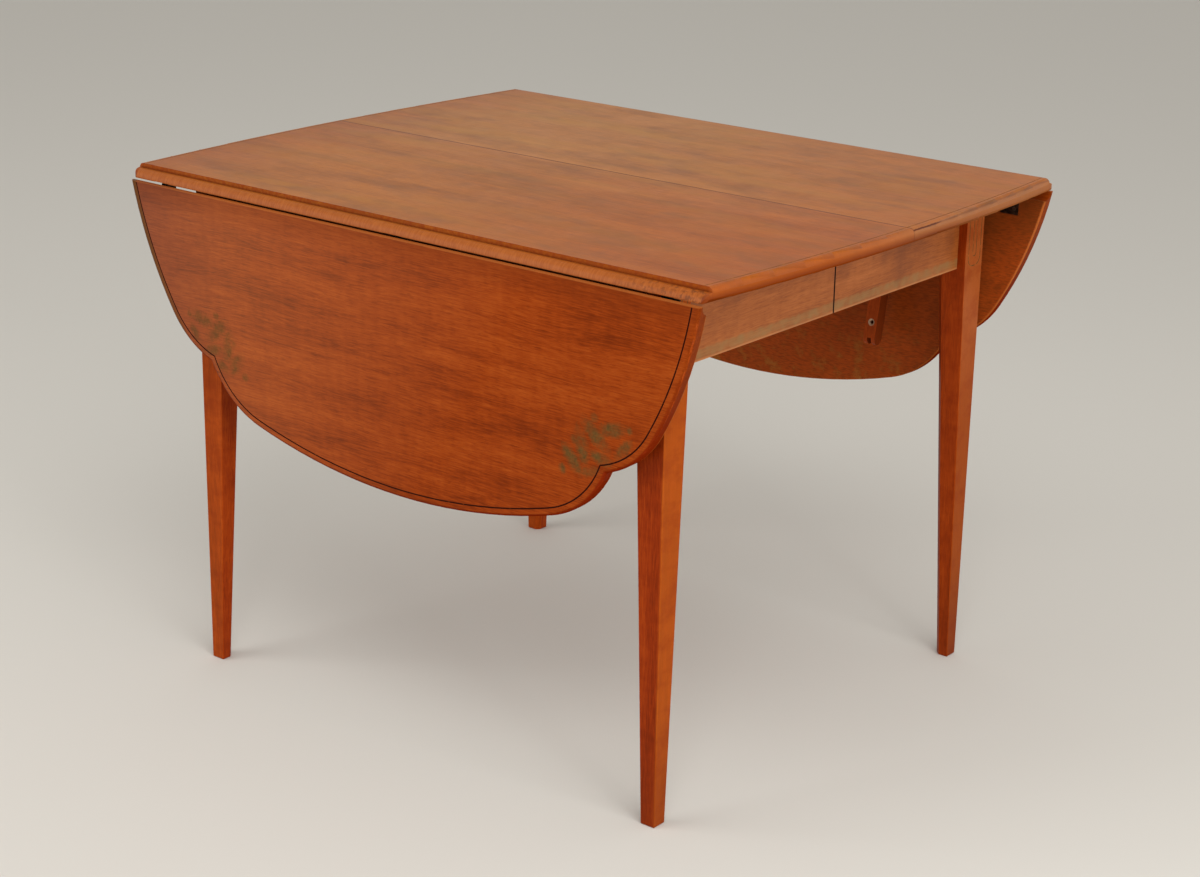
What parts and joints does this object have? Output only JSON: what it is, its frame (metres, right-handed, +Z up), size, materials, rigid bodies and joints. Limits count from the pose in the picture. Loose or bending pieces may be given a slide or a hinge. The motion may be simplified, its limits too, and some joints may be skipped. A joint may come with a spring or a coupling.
{
  "type": "drop-leaf extension table",
  "caption": "Drop-leaf table with scalloped rule-jointed leaves, tapered legs and a split top that pulls apart on wooden slides; props swing out under the raised leaves.",
  "frame": {"origin": "on the floor, under the middle of the table between the two hinge lines and the two ends", "axes": "+X along the hinge lines to the right, +Y towards the rear leaf, +Z up"},
  "size_m": [1.054, 0.849, 0.75],
  "materials": {
    "top_wood": "satin",
    "leaf_wood": "satin",
    "frame_wood": "satin",
    "prop_wood": "satin",
    "bare_wood": "matte",
    "dowel_wood": "matte",
    "hinge_steel": "satin",
    "screw_steel": "satin",
    "bolt_steel": "satin",
    "bracket_steel": "satin",
    "lock_steel": "satin"
  },
  "bodies": {
    "front_half": {"front_hinge_pins": "hinge_steel", "front_left_corner_block": "bare_wood", "front_left_end_rail": "frame_wood", "front_left_hinge_plate": "hinge_steel", "front_left_leg": "frame_wood", "front_left_prop_bracket": "bracket_steel", "front_leg_bolts": "bolt_steel", "front_middle_hinge_plate": "hinge_steel", "front_plate_screws": "screw_steel", "front_prop_bolts": "bolt_steel", "front_right_corner_block": "bare_wood", "front_right_end_rail": "frame_wood", "front_right_hinge_plate": "hinge_steel", "front_right_leg": "frame_wood", "front_right_prop_bracket": "bracket_steel", "front_side_rail": "frame_wood", "front_top": "top_wood", "left_slide_front": "bare_wood", "lock_pivots": "lock_steel", "right_slide_front": "bare_wood", "seam_dowels": "dowel_wood"},
    "rear_half": {"left_slide_rear": "bare_wood", "lock_keepers": "lock_steel", "rear_hinge_pins": "hinge_steel", "rear_left_corner_block": "bare_wood", "rear_left_end_rail": "frame_wood", "rear_left_hinge_plate": "hinge_steel", "rear_left_leg": "frame_wood", "rear_left_prop_bracket": "bracket_steel", "rear_leg_bolts": "bolt_steel", "rear_middle_hinge_plate": "hinge_steel", "rear_plate_screws": "screw_steel", "rear_prop_bolts": "bolt_steel", "rear_right_corner_block": "bare_wood", "rear_right_end_rail": "frame_wood", "rear_right_hinge_plate": "hinge_steel", "rear_right_leg": "frame_wood", "rear_right_prop_bracket": "bracket_steel", "rear_side_rail": "frame_wood", "rear_top": "top_wood", "right_slide_rear": "bare_wood"},
    "front_leaf": {"front_leaf": "leaf_wood", "front_left_hinge_strap": "hinge_steel", "front_middle_hinge_strap": "hinge_steel", "front_right_hinge_strap": "hinge_steel", "front_strap_screws": "screw_steel"},
    "front_left_prop": {"front_left_prop": "prop_wood"},
    "front_right_prop": {"front_right_prop": "prop_wood"},
    "left_lock_lever": {"left_lock_lever": "lock_steel"},
    "left_slide_runner": {"left_slide_runner": "bare_wood"},
    "rear_leaf": {"rear_leaf": "leaf_wood", "rear_left_hinge_strap": "hinge_steel", "rear_middle_hinge_strap": "hinge_steel", "rear_right_hinge_strap": "hinge_steel", "rear_strap_screws": "screw_steel"},
    "rear_left_prop": {"rear_left_prop": "prop_wood"},
    "rear_right_prop": {"rear_right_prop": "prop_wood"},
    "right_lock_lever": {"right_lock_lever": "lock_steel"},
    "right_slide_runner": {"right_slide_runner": "bare_wood"}
  },
  "joints": [
    {"name": "rear_slide", "type": "slide", "parent": "front_half", "child": "rear_half", "axis": [0, 1, 0], "range_m": [0, 0.61]},
    {"name": "left_runner_slide", "type": "slide", "parent": "front_half", "child": "left_slide_runner", "axis": [0, 1, 0], "range_m": [0, 0.305]},
    {"name": "right_runner_slide", "type": "slide", "parent": "front_half", "child": "right_slide_runner", "axis": [0, 1, 0], "range_m": [0, 0.305]},
    {"name": "front_leaf_hinge", "type": "hinge", "parent": "front_half", "child": "front_leaf", "pos_m": [0, -0.404, 0.7295], "axis": [-1, 0, 0], "range_deg": [0, 92.3]},
    {"name": "front_left_prop_pivot", "type": "hinge", "parent": "front_half", "child": "front_left_prop", "pos_m": [-0.257, -0.383, 0.64], "axis": [-1, 0, 0], "range_deg": [0, 129.1]},
    {"name": "front_right_prop_pivot", "type": "hinge", "parent": "front_half", "child": "front_right_prop", "pos_m": [0.257, -0.383, 0.64], "axis": [-1, 0, 0], "range_deg": [0, 129.1]},
    {"name": "rear_leaf_hinge", "type": "hinge", "parent": "rear_half", "child": "rear_leaf", "pos_m": [0, 0.404, 0.7295], "axis": [1, 0, 0], "range_deg": [0, 92.3]},
    {"name": "rear_left_prop_pivot", "type": "hinge", "parent": "rear_half", "child": "rear_left_prop", "pos_m": [-0.257, 0.383, 0.64], "axis": [1, 0, 0], "range_deg": [0, 129.1]},
    {"name": "rear_right_prop_pivot", "type": "hinge", "parent": "rear_half", "child": "rear_right_prop", "pos_m": [0.257, 0.383, 0.64], "axis": [1, 0, 0], "range_deg": [0, 129.1]},
    {"name": "left_lock_turn", "type": "hinge", "parent": "front_half", "child": "left_lock_lever", "pos_m": [-0.092, -0.016, 0.7255], "axis": [0, 0, 1], "range_deg": [0, 90]},
    {"name": "right_lock_turn", "type": "hinge", "parent": "front_half", "child": "right_lock_lever", "pos_m": [0.092, -0.016, 0.7255], "axis": [0, 0, -1], "range_deg": [0, 90]}
  ],
  "couplings": [
    {"joint": "left_runner_slide", "follows": "rear_slide", "ratio": 0.5},
    {"joint": "right_runner_slide", "follows": "rear_slide", "ratio": 0.5},
    {"joint": "front_left_prop_pivot", "follows": "front_leaf_hinge", "ratio": 1.3981},
    {"joint": "front_right_prop_pivot", "follows": "front_leaf_hinge", "ratio": 1.3981},
    {"joint": "rear_left_prop_pivot", "follows": "rear_leaf_hinge", "ratio": 1.3981},
    {"joint": "rear_right_prop_pivot", "follows": "rear_leaf_hinge", "ratio": 1.3981}
  ]
}
